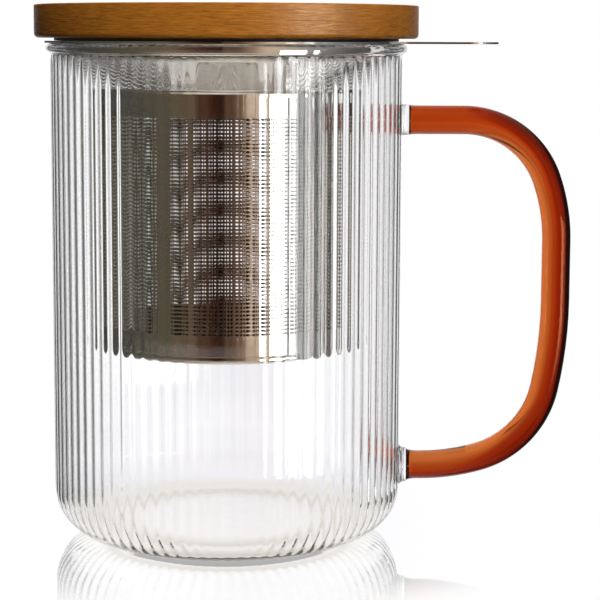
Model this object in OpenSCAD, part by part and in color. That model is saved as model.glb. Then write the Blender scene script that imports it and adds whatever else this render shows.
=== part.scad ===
// Reeded glass mug with an amber handle, a lift-out steel infuser and a bamboo lid.
// Millimetres, +Z up, the handle towards +X. The origin is the centre of the base's flat underside.

/* [Cup] */
// Outer radius of the glass, over the crests of the reeds
cup_r = 43; // [37:0.5:52]
// Height of the glass rim above the table
cup_h = 121.2; // [108:0.1:160]
// Thickness of the glass wall, from the crests of the reeds inwards
wall_t = 2.6; // [1.8:0.1:4]
// Thickness of the glass floor
floor_t = 3; // [2:0.1:8]
// Radius of the outer corner between the wall and the base
corner_r = 12; // [6:0.1:18]
// Height of the fire-polished bead around the rim
bead_h = 2.4; // [1.6:0.1:3.2]
// How far the bead stands out past the reeds
bead_out = 1.1; // [0.4:0.1:2]
// How far the bead stands in past the inner wall
bead_in = 0.3; // [0.1:0.05:1]

/* [Reeds] */
// Number of upright reeds around the glass
reed_n = 85; // [36:1:120]
// Depth of the valleys between the reeds
reed_depth = 0.12; // [0.05:0.01:0.6]

/* [Handle] */
// Diameter of the glass rod
rod_d = 6.3; // [4:0.1:8]
// Height of the rim above the centre line of the rod's upper run
handle_drop = 18.4; // [12:0.1:30]
// Height of the centre line of the rod's lower run above the table
handle_low = 16.6; // [10:0.1:25]
// Reach of the rod's centre line past the reeds
handle_reach = 38.7; // [37:0.1:50]
// Radius of the upper bend
top_bend_r = 21.7; // [12:0.1:30]
// Radius of the slacker bend that eases the upper bend into the upright run
ease_r = 45; // [30:1:70]
// Angle turned by that slacker bend
ease_a = 20; // [5:1:35]
// Radius of the long sweep below the upright run
sweep_r = 106; // [50:1:130]
// Angle turned by the long sweep
sweep_a = 12; // [5:1:18]
// Radius of the lower bend
low_bend_r = 23.5; // [15:0.5:30]
// Angle from level at which the lower bend ends and the toe begins
toe_a = 74; // [60:1:80]
// Length of the rod's lower run between the toe and the flare
toe_run = 0.9; // [0:0.1:4]
// Radius of the upper clear foot on the wall
upper_foot_r = 3.9; // [3.2:0.1:5]
// Radius of the lower clear foot on the wall
lower_foot_r = 5; // [3.2:0.1:6]
// Thickness of a clear foot outside the reeds
foot_t = 1.7; // [0.8:0.1:3]
// Length over which the rod flares out to its foot
flare_l = 2.6; // [1:0.1:3.5]

/* [Infuser] */
// Thickness of the pressed sheet of the rim and the base
sheet_t = 0.5; // [0.3:0.05:1]
// How far the flange stands out past the bead
flange_over = 0.65; // [0:0.05:3]
// Gap between the collar and the glass bead
collar_gap = 0.5; // [0.3:0.05:2]
// Radius of the bend where the flange turns down
mouth_bend_r = 0.8; // [0.4:0.1:1.5]
// Height of the upright lip below that bend
lip_l = 0.3; // [0:0.1:2]
// Radius of the funnel's shoulder
shoulder_r = 4; // [2:0.1:6]
// Slope of the funnel from upright
funnel_a = 50; // [40:1:70]
// Radius of the bend between the funnel and the neck
neck_bend_r = 1.5; // [0.5:0.1:3]
// Height of the upright neck around the sleeve
neck_l = 0.6; // [0.4:0.05:4]
// Outer radius of the perforated sleeve
sleeve_r = 29.5; // [20:0.1:31]
// Thickness of the sleeve
sleeve_t = 0.3; // [0.2:0.05:1]
// Depth of the infuser below the glass rim
infuser_depth = 74.6; // [40:0.1:90]
// Height of the base's skirt around the sleeve
skirt_h = 1.8; // [1:0.1:4]
// Thickness of the skirt
skirt_t = 0.35; // [0.2:0.05:0.8]
// Radius of the base's outer corner
base_round = 0.8; // [0.3:0.1:1]
// Length of the lifting tab past the flange
tab_l = 21.65; // [12:0.1:30]
// Width of the lifting tab
tab_w = 16; // [8:0.5:24]

/* [Lid] */
// Overhang of the lid past the infuser's flange
lid_over = 2; // [0:0.1:5]
// Thickness of the upper ply
upper_ply_t = 3.95; // [2:0.05:8]
// Thickness of the lower ply
lower_ply_t = 4; // [2:0.05:8]
// Radius of the lid's lower edge
lower_edge_r = 1.1; // [0.3:0.1:1.8]
// Radius of the lid's upper edge
upper_edge_r = 0.35; // [0.1:0.05:1.8]
// Room between the collar and the plug's neck, which carries the seal
plug_room = 5.3; // [4.5:0.1:8]
// How far the plug's foot stands out below the seal
plug_foot_out = 1.2; // [0.5:0.1:1.5]
// Height of the plug's foot
plug_foot_h = 1.15; // [0.6:0.05:2]
// Thickness of the seal's lip, under the lid
seal_lip_t = 0.65; // [0.4:0.05:2]
// Width of the flange left free outside the seal's lip
seal_lip_inset = 2.75; // [1.5:0.05:4]
// Thickness of the seal's band around the plug
seal_band_t = 1.8; // [1.3:0.1:2.5]
// Height of the seal's band
seal_band_h = 4.15; // [3.5:0.05:5]
// Gap between the seal's upper fin and the collar
fin_gap = 0.4; // [0.3:0.05:1]
// How much further in the seal's lower fin stops
fin_step = 0.7; // [0.5:0.05:1.5]
// Thickness of a fin
fin_t = 0.7; // [0.4:0.05:1]
// Drop from one fin to the next
fin_pitch = 1.3; // [1:0.05:1.6]

/* [Hidden] */

fine = 96;              // facets of a large circle
small = 48;             // facets of a small edge or a foot
bend_steps = 8;         // straight steps in a pressed bend
rod_sides = 24;         // sides of the bent rod
rod_step = 6;           // degrees of a bend between two rings of the rod
rest_gap = 0.05;        // room left where one body rests on another
crest_room = 0.02;      // room between the reeds' crests and the rounded drum that ends them
end_room = 1;           // length by which a cutting solid runs past what it cuts

// Cup
cup_inner_r = cup_r - wall_t;
mouth_r = cup_inner_r - bead_in;
bead_r = cup_r + bead_out;
bead_z = cup_h - bead_h / 2;
// A reed is an arc that touches cup_r at its crest and meets the next one on valley_r
valley_r = cup_r - reed_depth;
reed_x = (cup_r * cup_r - valley_r * valley_r) / (2 * (cup_r - valley_r * cos(180 / reed_n)));
reed_r = cup_r - reed_x;
corner_inner_r = max(corner_r - wall_t, 1);

// Handle: the arcs follow each other tangentially, from the upper bend down to the toe
rod_r = rod_d / 2;
handle_x = cup_r + handle_reach;
foot_x = cup_r + foot_t;
handle_top = cup_h - handle_drop;
ease_step = (ease_r - top_bend_r) * [cos(ease_a), sin(ease_a)];
top_c = [handle_x - ease_r + ease_step[0], handle_top - top_bend_r];
ease_c = top_c - ease_step;
toe_x = foot_x + flare_l + toe_run;
toe_span = handle_x - toe_x - sweep_r * (1 - cos(sweep_a)) - low_bend_r * (cos(sweep_a) - cos(toe_a));
toe_r = toe_span / cos(toe_a);
toe_c = [toe_x, handle_low + toe_r];
low_c = toe_c + (toe_r - low_bend_r) * [cos(toe_a), -sin(toe_a)];
sweep_c = low_c + (low_bend_r - sweep_r) * [cos(sweep_a), -sin(sweep_a)];

// Infuser
flange_z = cup_h + rest_gap;
flange_top = flange_z + sheet_t;
flange_r = bead_r + flange_over;
collar_r = mouth_r - collar_gap;
neck_r = sleeve_r + sheet_t;
shoulder_z = flange_z - mouth_bend_r - lip_l;
funnel_top_r = collar_r - shoulder_r * (1 - cos(funnel_a));
funnel_low_r = neck_r + neck_bend_r * (1 - cos(funnel_a));
funnel_top_z = shoulder_z - shoulder_r * sin(funnel_a);
funnel_low_z = funnel_top_z - (funnel_top_r - funnel_low_r) / tan(funnel_a);
neck_z = funnel_low_z - neck_bend_r * sin(funnel_a);
base_z = cup_h - infuser_depth;
sleeve_z = base_z + sheet_t;
tab_end = flange_r + tab_l;

// Lid
seal_z = flange_top + rest_gap;
lid_z = seal_z + seal_lip_t;
ply_z = lid_z + lower_ply_t;
lid_r = flange_r + lid_over;
seal_lip_r = flange_r - seal_lip_inset;
plug_neck_r = collar_r - sheet_t - plug_room;
seal_band_r = plug_neck_r + seal_band_t;
upper_fin_r = collar_r - sheet_t - fin_gap;
lower_fin_r = upper_fin_r - fin_step;
upper_fin_z = seal_z - fin_pitch;
plug_neck_l = seal_lip_t + seal_band_h;

// Points on an arc about c, from angle a to angle b
function arc(c, r, a, b, n = bend_steps) =
    [for (i = [0 : n]) let (t = a + (b - a) * i / n) [c[0] + r * cos(t), c[1] + r * sin(t)]];

// One face of the pressed rim, from the flange's edge to the end of the neck.
// The bends share their centres, so the other face is the same line with t added or taken off.
function rim_face(t) = concat(
    [[flange_r, flange_z + t]],
    arc([collar_r + mouth_bend_r, flange_z - mouth_bend_r], mouth_bend_r + t, 90, 180),
    arc([collar_r - shoulder_r, shoulder_z], shoulder_r - t, 0, -funnel_a),
    arc([neck_r + neck_bend_r, neck_z], neck_bend_r + t, 180 - funnel_a, 180),
    [[neck_r - t, neck_z - neck_l]]
);

// Reversed list
function back(v) = [for (i = [len(v) - 1 : -1 : 0]) v[i]];

// Half section of a drum with a rounded lower edge
module drum_section(r, h, round_r) {
    translate([0, round_r]) square([r, h - round_r]);
    square([r - round_r, h]);
    translate([r - round_r, round_r]) circle(round_r, $fn = fine);
}

// The reeded outside of the glass, below the bead
module reeded_drum() {
    intersection() {
        linear_extrude(bead_z) {
            circle(valley_r, $fn = fine);
            for (i = [0 : reed_n - 1])
                rotate(i * 360 / reed_n) translate([reed_x, 0]) circle(reed_r, $fn = fine);
        }
        rotate_extrude($fn = fine) drum_section(cup_r + crest_room, cup_h, corner_r + crest_room);
    }
}

// The rounded bead around the rim
module rim_bead() {
    bead_round = bead_h / 2;
    rotate_extrude($fn = fine) {
        translate([mouth_r + bead_round, bead_z]) circle(bead_round, $fn = small);
        translate([bead_r - bead_round, bead_z]) circle(bead_round, $fn = small);
        translate([mouth_r + bead_round, bead_z - bead_round]) square([bead_r - mouth_r - bead_h, bead_h]);
    }
}

module cup_body() {
    color("aliceblue", 0.4) {
        difference() {
            reeded_drum();
            translate([0, 0, floor_t])
                rotate_extrude($fn = fine) drum_section(cup_inner_r, cup_h, corner_inner_r);
        }
        rim_bead();
    }
}

// A ring of the rod is [x, z, the angle that its outer side faces, radius], in the XZ plane.
// Rings round a bend about c, from facing angle a to facing angle b
function bend_rings(c, r, a, b) =
    let (n = ceil(abs(b - a) / rod_step))
    [for (p = arc([0, 0], r, a, b, n)) [c[0] + p[0], c[1] + p[1], atan2(p[1], p[0]), rod_r]];

// Rings of a flare on the level run at z, from its foot out to the plain rod
function flare_rings(z, facing, end_r) =
    [for (p = arc([rod_r, 0], 1, 90, 0))
        [foot_x + flare_l * (1 - p[1]), z, facing, end_r - (end_r - rod_r) * (p[0] - rod_r)]];

function ring_points(ring) =
    [for (i = [0 : rod_sides - 1])
        let (u = i * 360 / rod_sides, out = ring[3] * cos(u))
        [ring[0] + out * cos(ring[2]), ring[3] * sin(u), ring[1] + out * sin(ring[2])]];

// A closed tube through the rings
module tube(rings) {
    n = rod_sides;
    last = (len(rings) - 1) * n;
    polyhedron(
        points = [for (ring = rings) each ring_points(ring)],
        faces = concat(
            [[for (i = [n - 1 : -1 : 0]) i]],
            [for (k = [0 : len(rings) - 2], i = [0 : n - 1])
                [k * n + i, k * n + (i + 1) % n, (k + 1) * n + (i + 1) % n, (k + 1) * n + i]],
            [[for (i = [0 : n - 1]) last + i]]
        )
    );
}

// Radius at which the rod's flare and its clear foot meet
function foot_end_r(foot_r) = (rod_r + foot_r) / 2;

module handle_rod() {
    color("darkorange", 0.8)
        tube(concat(
            flare_rings(handle_top, 90, foot_end_r(upper_foot_r)),
            bend_rings(top_c, top_bend_r, 90, ease_a),
            bend_rings(ease_c, ease_r, ease_a, 0),
            bend_rings(sweep_c, sweep_r, 0, -sweep_a),
            bend_rings(low_c, low_bend_r, -sweep_a, -toe_a),
            bend_rings(toe_c, toe_r, -toe_a, -90),
            back(flare_rings(handle_low, -90, foot_end_r(lower_foot_r)))
        ));
}

// A clear foot, fused to the reeded wall and to the end of the rod
module handle_foot(z, foot_r) {
    color("lightcyan", 0.5)
        difference() {
            translate([cup_inner_r, 0, z]) rotate([0, 90, 0]) {
                cylinder(h = foot_x - cup_inner_r, r = foot_end_r(foot_r), $fn = small);
                cylinder(h = foot_x - cup_inner_r - foot_t / 2, r = foot_r, $fn = small);
            }
            reeded_drum();
        }
}

module handle_upper_foot() {
    handle_foot(handle_top, upper_foot_r);
}

module handle_lower_foot() {
    handle_foot(handle_low, lower_foot_r);
}

module infuser_rim() {
    color("silver") {
        rotate_extrude($fn = fine) polygon(concat(rim_face(0), back(rim_face(sheet_t))));
        difference() {
            translate([0, 0, flange_z]) linear_extrude(sheet_t) {
                translate([0, -tab_w / 2]) square([tab_end - tab_w / 2, tab_w]);
                translate([tab_end - tab_w / 2, 0]) circle(tab_w / 2, $fn = small);
            }
            translate([0, 0, flange_z - end_room])
                cylinder(h = sheet_t + 2 * end_room, r = (bead_r + collar_r) / 2, $fn = fine);
        }
    }
}

module infuser_sleeve() {
    color("gray")
        translate([0, 0, sleeve_z])
            difference() {
                cylinder(h = neck_z - sleeve_z, r = sleeve_r, $fn = fine);
                translate([0, 0, -end_room])
                    cylinder(h = neck_z - sleeve_z + 2 * end_room, r = sleeve_r - sleeve_t, $fn = fine);
            }
}

module infuser_base() {
    color("lightgray")
        translate([0, 0, base_z])
            difference() {
                rotate_extrude($fn = fine) drum_section(sleeve_r + skirt_t, skirt_h, base_round);
                translate([0, 0, sheet_t]) cylinder(h = skirt_h, r = sleeve_r, $fn = fine);
            }
}

module lid_upper_ply() {
    color("peru")
        translate([0, 0, ply_z])
            rotate_extrude($fn = fine)
                translate([0, upper_ply_t]) mirror([0, 1]) drum_section(lid_r, upper_ply_t, upper_edge_r);
}

module lid_lower_ply() {
    color("chocolate") {
        translate([0, 0, lid_z])
            rotate_extrude($fn = fine) drum_section(lid_r, lower_ply_t, lower_edge_r);
        translate([0, 0, lid_z - plug_neck_l]) cylinder(h = plug_neck_l, r = plug_neck_r, $fn = fine);
        translate([0, 0, lid_z - plug_neck_l - plug_foot_h])
            cylinder(h = plug_foot_h, r = plug_neck_r + plug_foot_out, $fn = fine);
    }
}

// One ring of the seal, from the plug's neck out to r, between z and z + h
module seal_ring(r, z, h) {
    translate([plug_neck_r, z]) square([r - plug_neck_r, h]);
}

module lid_seal() {
    color("whitesmoke")
        rotate_extrude($fn = fine) {
            seal_ring(seal_lip_r, seal_z, seal_lip_t);
            seal_ring(seal_band_r, lid_z - plug_neck_l, plug_neck_l);
            seal_ring(upper_fin_r, upper_fin_z, fin_t);
            seal_ring(lower_fin_r, upper_fin_z - fin_pitch, fin_t);
        }
}

cup_body();
handle_rod();
handle_upper_foot();
handle_lower_foot();
infuser_rim();
infuser_sleeve();
infuser_base();
lid_upper_ply();
lid_lower_ply();
lid_seal();
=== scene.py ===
# Reeded glass mug with an amber handle, a lift-out steel infuser and a bamboo lid
import math

import bpy
from mathutils import Matrix, Vector


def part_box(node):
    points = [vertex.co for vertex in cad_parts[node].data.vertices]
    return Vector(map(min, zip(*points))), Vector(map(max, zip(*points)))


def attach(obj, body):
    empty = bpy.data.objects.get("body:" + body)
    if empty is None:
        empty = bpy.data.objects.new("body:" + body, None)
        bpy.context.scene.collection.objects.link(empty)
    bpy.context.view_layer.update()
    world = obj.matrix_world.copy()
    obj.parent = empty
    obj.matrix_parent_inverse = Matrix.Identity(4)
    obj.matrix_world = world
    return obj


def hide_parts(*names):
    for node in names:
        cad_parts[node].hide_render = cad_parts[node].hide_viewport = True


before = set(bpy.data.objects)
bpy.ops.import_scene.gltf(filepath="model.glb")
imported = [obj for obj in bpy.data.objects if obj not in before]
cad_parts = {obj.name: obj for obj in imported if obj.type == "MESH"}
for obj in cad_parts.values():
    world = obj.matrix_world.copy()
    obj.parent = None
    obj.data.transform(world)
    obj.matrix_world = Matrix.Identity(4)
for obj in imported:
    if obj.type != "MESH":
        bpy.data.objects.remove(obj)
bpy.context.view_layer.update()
mm = 0.001
scene = bpy.context.scene


# Helpers
def hexColour(code):  # "#rrggbb" in sRGB to a linear colour
    parts = [int(code[i:i + 2], 16) / 255 for i in (1, 3, 5)]
    linear = [p / 12.92 if p <= 0.04045 else ((p + 0.055) / 1.055) ** 2.4 for p in parts]
    return (*linear, 1.0)


def feed(tree, node, inputs):
    # inputs: {socket name or number: value} or a list in the sockets' order. A value may be a socket or a
    # node, which stands for its first output.
    for socket, value in inputs.items() if isinstance(inputs, dict) else enumerate(inputs):
        if isinstance(value, bpy.types.Node):
            value = value.outputs[0]
        if isinstance(value, bpy.types.NodeSocket):
            tree.links.new(value, node.inputs[socket])
        else:
            node.inputs[socket].default_value = value


def addNode(tree, kind, inputs=(), **settings):
    node = tree.nodes.new(kind)
    for name, value in settings.items():
        setattr(node, name, value)
    feed(tree, node, inputs)
    return node


def fillRamp(node, stops):  # stops: [(position, colour)], colour a hex code or a grey from 0 to 1
    elements = node.color_ramp.elements
    while len(elements) > 1:
        elements.remove(elements[-1])
    for i, (position, colour) in enumerate(stops):
        element = elements[0] if i == 0 else elements.new(position)
        element.position = position
        element.color = hexColour(colour) if isinstance(colour, str) else (colour, colour, colour, 1)
    return node


def emptyMaterial(name):  # a material with nothing but the Object coordinates in its tree
    material = bpy.data.materials.new(name)
    material.use_nodes = True
    tree = material.node_tree
    tree.nodes.clear()
    place = addNode(tree, "ShaderNodeTexCoord").outputs["Object"]
    return material, tree, place


def startMaterial(name, **sockets):  # the same with a Principled shader on its output
    material, tree, place = emptyMaterial(name)
    shader = addNode(tree, "ShaderNodeBsdfPrincipled")
    for socket, value in sockets.items():
        shader.inputs[socket.replace("_", " ")].default_value = value
    addNode(tree, "ShaderNodeOutputMaterial", {"Surface": shader})
    return material, tree, shader, place


def roundBox(node):  # radius, lowest and highest z in mm of a CAD node that is round about Z
    low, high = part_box(node)
    return high.y / mm, low.z / mm, high.z / mm


def arc(centre, radius, start, end, steps):  # points from angle start to angle end, in degrees
    turns = [math.radians(start + (end - start) * i / steps) for i in range(steps + 1)]
    return [(centre[0] + radius * math.cos(t), centre[1] + radius * math.sin(t)) for t in turns]


def newPiece(name, vertices, faces, material=None):
    mesh = bpy.data.meshes.new(name)
    mesh.from_pydata(vertices, [], faces)
    mesh.validate()
    piece = bpy.data.objects.new(name, mesh)
    scene.collection.objects.link(piece)
    if material:
        mesh.materials.append(material)
    return piece


def lathe(name, outline, steps, material=None):
    # Spins a closed outline of (r, z) points in mm about Z. Points on the axis become single poles.
    vertices, rings = [], []
    for r, z in outline:
        if r < 1e-6:
            rings.append([len(vertices)] * steps)
            vertices.append((0, 0, z * mm))
        else:
            rings.append(range(len(vertices), len(vertices) + steps))
            for i in range(steps):
                turn = 2 * math.pi * i / steps
                vertices.append((r * mm * math.sin(turn), -r * mm * math.cos(turn), z * mm))
    faces = []
    for k in range(len(rings)):
        a, b = rings[k], rings[(k + 1) % len(rings)]
        for i in range(steps):
            j = (i + 1) % steps
            corners = list(dict.fromkeys((a[i], a[j], b[j], b[i])))
            if len(corners) > 2:
                faces.append(corners)
    return newPiece(name, vertices, faces, material)


def smooth(piece, angle):  # smooth shading, creased where faces meet at more than angle
    piece.data.shade_smooth()
    piece.data.set_sharp_from_angle(angle=math.radians(angle))


def newTree(name, inputs):  # a Geometry Nodes tree with its named inputs: label -> socket kind
    tree = bpy.data.node_groups.new(name, "GeometryNodeTree")
    tree.interface.new_socket("Geometry", in_out="INPUT", socket_type="NodeSocketGeometry")
    tree.interface.new_socket("Geometry", in_out="OUTPUT", socket_type="NodeSocketGeometry")
    for label, kind in inputs.items():
        tree.interface.new_socket(label, in_out="INPUT", socket_type=kind)
    return tree, addNode(tree, "NodeGroupInput").outputs


def closeTree(tree, geometry, material):  # real geometry with its material, then the output
    realized = addNode(tree, "GeometryNodeRealizeInstances", {"Geometry": geometry})
    finish = addNode(tree, "GeometryNodeSetMaterial", {"Geometry": realized, "Material": material})
    addNode(tree, "NodeGroupOutput", {"Geometry": finish})


def grow(piece, tree, values):  # runs the tree on the piece and keeps the result as a plain mesh
    modifier = piece.modifiers.new(tree.name, "NODES")
    modifier.node_group = tree
    for item in tree.interface.items_tree:
        if item.in_out == "INPUT" and item.name in values:
            modifier[item.identifier] = values[item.name]
    bpy.context.view_layer.update()
    grown = piece.evaluated_get(bpy.context.evaluated_depsgraph_get())
    mesh = bpy.data.meshes.new_from_object(grown)
    piece.modifiers.clear()
    piece.data = mesh
    mesh.name = piece.name


# Camera
view = {
    "distance": 0.48757,  # metres from the mug's axis
    "height": 0.12322,
    "orbit": 3.07,  # degrees round the mug, towards the handle
    "pitch": 7.627,
    "yaw": 2.125,
    "roll": 0.206,
    "lens": 118.59,
}


def addCamera():
    camera = bpy.data.objects.new("camera", bpy.data.cameras.new("camera"))
    camera.data.lens = view["lens"]
    camera.data.sensor_width = 36
    camera.data.clip_start = 0.02
    camera.data.clip_end = 20
    turn = math.radians
    place = Matrix.Translation((0, -view["distance"], view["height"]))
    aim = Matrix.Rotation(turn(-view["yaw"]), 4, "Z") @ Matrix.Rotation(turn(90 - view["pitch"]), 4, "X")
    tilt = Matrix.Rotation(turn(view["roll"]), 4, "Z")
    camera.matrix_world = Matrix.Rotation(turn(view["orbit"]), 4, "Z") @ place @ aim @ tilt
    scene.collection.objects.link(camera)
    scene.camera = camera


addCamera()

# What stands round the mug. The lists give brightness or a colour against direction, in degrees clockwise
# from above, starting at the backdrop behind the mug. The handle is at 90.
studio = {
    "ring": [(-180, "#2a1a12"), (-165, "#4a2a1c"), (-145, "#70604e"), (-115, "#5a5648"), (-60, "#3c3c38"),
             (-40, 0.05), (-27, 0.1), (-23, 1.2), (-15, 1.3), (0, "#f6f5fa"), (10, 1.2), (14, 0.92),
             (18, 1.3), (21, 1.3), (25, 0.1), (42, 0.05), (66, 0.06), (90, 0.15), (118, 0.34),
             (140, "#d8c4a8"), (150, "#e4c8b0"), (160, "#a08068"), (170, "#604838")],
    "table": [(-180, "#fff4e6"), (-150, "#f8ecd8"), (-120, "#6c6658"), (-60, "#484640"), (-30, "#55524c"),
              (-24, "#f8f7fc"), (21, "#f8f7fc"), (27, "#55524c"), (60, "#504e4a"), (90, "#504e4a"),
              (130, "#a8a294"), (180, "#fff4e6")],
    "tableFrom": (-0.17, -0.3),  # z of the directions where the table sets in, and where it has taken over
    "above": "#cfc8be",
    "aboveFrom": (0.45, 0.75),  # the same for what is overhead
    "strips": [(114.2, 1.8, 4.5), (131.5, 9.5, 7.5)],  # middle, half width and brightness of the strip lights
    "stripTop": -0.012,  # z of the directions where the strips end
    "diffuse": 0.055,  # what matt surfaces get from all round
    "backFill": 0.8,  # and from straight behind the mug
    "backFrom": 0.8,  # y of the directions where that sets in
}


def addStudio():
    world = bpy.data.worlds.new("studio")
    scene.world = world
    world.use_nodes = True
    tree = world.node_tree
    tree.nodes.clear()
    ray = addNode(tree, "ShaderNodeLightPath").outputs
    aim = addNode(tree, "ShaderNodeTexCoord").outputs["Generated"]
    part = addNode(tree, "ShaderNodeSeparateXYZ", [aim]).outputs
    turn = addNode(tree, "ShaderNodeMath", [part["X"], part["Y"]], operation="ARCTAN2")
    share = addNode(tree, "ShaderNodeMath", [turn, 0.5 / math.pi, 0.5], operation="MULTIPLY_ADD")
    ramps = {}
    for name in ("ring", "table"):
        stops = [(degrees / 360 + 0.5, colour) for degrees, colour in studio[name]]
        ramps[name] = fillRamp(addNode(tree, "ShaderNodeValToRGB", {"Fac": share}), stops)
    seen = ramps["ring"]
    below = addNode(tree, "ShaderNodeMath", [part["Z"], studio["stripTop"]], operation="LESS_THAN")
    for middle, half, brightness in studio["strips"]:
        span = [share, middle / 360 + 0.5, half / 360]
        strip = addNode(tree, "ShaderNodeMath", span, operation="COMPARE")
        lit = addNode(tree, "ShaderNodeMath", [strip, below], operation="MULTIPLY")
        glow = (brightness, brightness, brightness, 1)
        seen = addNode(tree, "ShaderNodeMix", {0: lit, 6: seen, 7: glow}, data_type="RGBA").outputs[2]
    low, high = [
        addNode(tree, "ShaderNodeMapRange", {"Value": part["Z"], "From Min": start, "From Max": end})
        for start, end in (studio["tableFrom"], studio["aboveFrom"])]
    soft = addNode(tree, "ShaderNodeMapRange", {
        "Value": part["Y"], "From Min": studio["backFrom"],
        "To Min": studio["diffuse"], "To Max": studio["backFill"]})
    layers = ((low, ramps["table"]), (high, hexColour(studio["above"])),
              (ray["Is Diffuse Ray"], soft), (ray["Is Camera Ray"], (1, 1, 1, 1)))
    for amount, colour in layers:
        seen = addNode(tree, "ShaderNodeMix", {0: amount, 6: seen, 7: colour}, data_type="RGBA").outputs[2]
    background = addNode(tree, "ShaderNodeBackground", {"Color": seen})
    addNode(tree, "ShaderNodeOutputWorld", {"Surface": background})
    world.cycles.sampling_method = "NONE"


addStudio()

lamps = {  # degrees round from the camera's side towards the handle, degrees up, metres away, watts, beam
    "key": (17, 14, 0.9, 54.0, 7.2),
    "top": (0, 70, 0.9, 22.0, 30.0),
    "sheen": (52, 5, 0.9, 190.0, 14.0),  # only makes highlights, on the lid
}
lampLook = {"size": 0.06, "aim": (0.012, 0, 0.124), "sheenColour": (1.0, 0.84, 0.6)}  # metres
lidGloss = bpy.data.collections.new("lid_gloss")  # what the sheen lamp lights


def addLamp(name, around, up, distance, power, beam):
    light = bpy.data.lights.new(name, "SPOT")
    light.shadow_soft_size = lampLook["size"]
    light.energy = power
    light.spot_size = math.radians(beam)
    light.spot_blend = 1.0
    lamp = bpy.data.objects.new(name, light)
    a, e = math.radians(around), math.radians(up)
    back = Vector((math.sin(a) * math.cos(e), -math.cos(a) * math.cos(e), math.sin(e)))
    lamp.location = back * distance + Vector(lampLook["aim"])
    lamp.rotation_mode = "QUATERNION"
    lamp.rotation_quaternion = (-back).to_track_quat("-Z", "Y")
    lamp.visible_camera = lamp.visible_transmission = False
    lamp.visible_glossy = name == "sheen"
    lamp.visible_diffuse = name != "sheen"
    scene.collection.objects.link(lamp)
    if name == "sheen":
        light.color = lampLook["sheenColour"]
        lamp.light_linking.receiver_collection = lidGloss


for name, spec in lamps.items():
    addLamp(name, *spec)

sheetLook = {
    "width": 6.0,  # metres throughout
    "mirror": 0.6,  # how much the polish mirrors beside the mug
    "mirrorFrom": 0.045,  # distances from the axis between which the mirror fades out
    "mirrorTo": 0.085,
    "roughness": 0.03,
}


def addSheet():
    # White acrylic sheet lit from below: even white, with a polish that shows close to the mug
    material, tree, place = emptyMaterial("white_acrylic_sheet")
    distance = addNode(tree, "ShaderNodeVectorMath", [place], operation="LENGTH").outputs["Value"]
    share = addNode(tree, "ShaderNodeMapRange", {
        "Value": distance, "From Min": sheetLook["mirrorFrom"], "From Max": sheetLook["mirrorTo"],
        "To Min": sheetLook["mirror"], "To Max": 0.0}, interpolation_type="SMOOTHSTEP")
    glow = addNode(tree, "ShaderNodeEmission", {"Color": (1, 1, 1, 1), "Strength": 1.0})
    polish = addNode(tree, "ShaderNodeBsdfGlossy", {
        "Color": (1, 1, 1, 1), "Roughness": sheetLook["roughness"]})
    blend = addNode(tree, "ShaderNodeMixShader", [share, glow, polish])
    addNode(tree, "ShaderNodeOutputMaterial", {"Surface": blend})
    half = sheetLook["width"] / 2
    corners = [(-half, -half, 0), (half, -half, 0), (half, half, 0), (-half, half, 0)]
    floor = newPiece("floor", corners, [(0, 1, 2, 3)], material)
    floor.visible_glossy = floor.visible_transmission = floor.visible_diffuse = False


# What is seen of the sheet through the glass: a small glowing disc with a painted contact shadow round the
# mug's foot and a painted pool of light in front
discLook = {
    "points": 96,
    "behind": 0.05,  # metres that it reaches from the axis
    "ahead": 0.085,  # and how much further towards the camera's side
    "sunk": 0.00002,
    "contactReach": 0.1,  # distance from the axis at the end of the list of colours
    # painted contact shadow: a darker ring where the mug's foot stands
    "contact": [(0.0, "#f4f2f2"), (0.24, "#f1efec"), (0.31, "#d0c9be"), (0.36, "#f1eee9"), (0.5, "#f8f7f6")],
    "poolAt": (0.01, -0.06, 0),  # a painted pool of light in front of the mug
    "poolReach": 0.25,
    # painted light at the pool, fading to painted shade further away
    "pool": [(0.0, "#fff6e2"), (0.08, "#ece2d0"), (0.14, "#c0b7a6"), (0.24, "#7c776c"), (0.4, "#504d47")],
    "away": (0.04, 0.055),  # distances from the axis between which the pool takes over
    "front": (0.0, -0.04),  # and the same in y
}


def addDisc():
    rim = []
    for i in range(discLook["points"]):
        turn = 2 * math.pi * i / discLook["points"]
        reach = discLook["behind"] + discLook["ahead"] * min(max(-2 * math.sin(turn), 0), 1)
        rim.append((reach * math.cos(turn), reach * math.sin(turn), -discLook["sunk"]))
    # The disc's colour is painted light and shade: a contact shadow round the foot and a pool of light in
    # front
    material, tree, place = emptyMaterial("painted_light_and_shade_under_mug")
    distance = addNode(tree, "ShaderNodeVectorMath", [place], operation="LENGTH").outputs["Value"]
    fromPool = addNode(tree, "ShaderNodeVectorMath", [
        place, discLook["poolAt"]], operation="DISTANCE").outputs["Value"]
    ramps = []
    for length, name in ((distance, "contact"), (fromPool, "pool")):
        scale = 1 / discLook[name + "Reach"]
        share = addNode(tree, "ShaderNodeMath", [length, scale], operation="MULTIPLY")
        ramps.append(fillRamp(addNode(tree, "ShaderNodeValToRGB", {"Fac": share}), discLook[name]))
    spot = addNode(tree, "ShaderNodeSeparateXYZ", [place]).outputs
    away, front = [
        addNode(tree, "ShaderNodeMapRange", {"Value": value, "From Min": start, "From Max": end})
        for value, (start, end) in ((distance, discLook["away"]), (spot["Y"], discLook["front"]))]
    share = addNode(tree, "ShaderNodeMath", [away, front], operation="MULTIPLY")
    shade = addNode(tree, "ShaderNodeMix", {0: share, 6: ramps[0], 7: ramps[1]}, data_type="RGBA").outputs[2]
    glow = addNode(tree, "ShaderNodeEmission", {"Color": shade, "Strength": 1.0})
    addNode(tree, "ShaderNodeOutputMaterial", {"Surface": glow})
    disc = newPiece("lit_disc", rim, [list(range(discLook["points"]))], material)
    disc.visible_camera = disc.visible_diffuse = False


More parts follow.
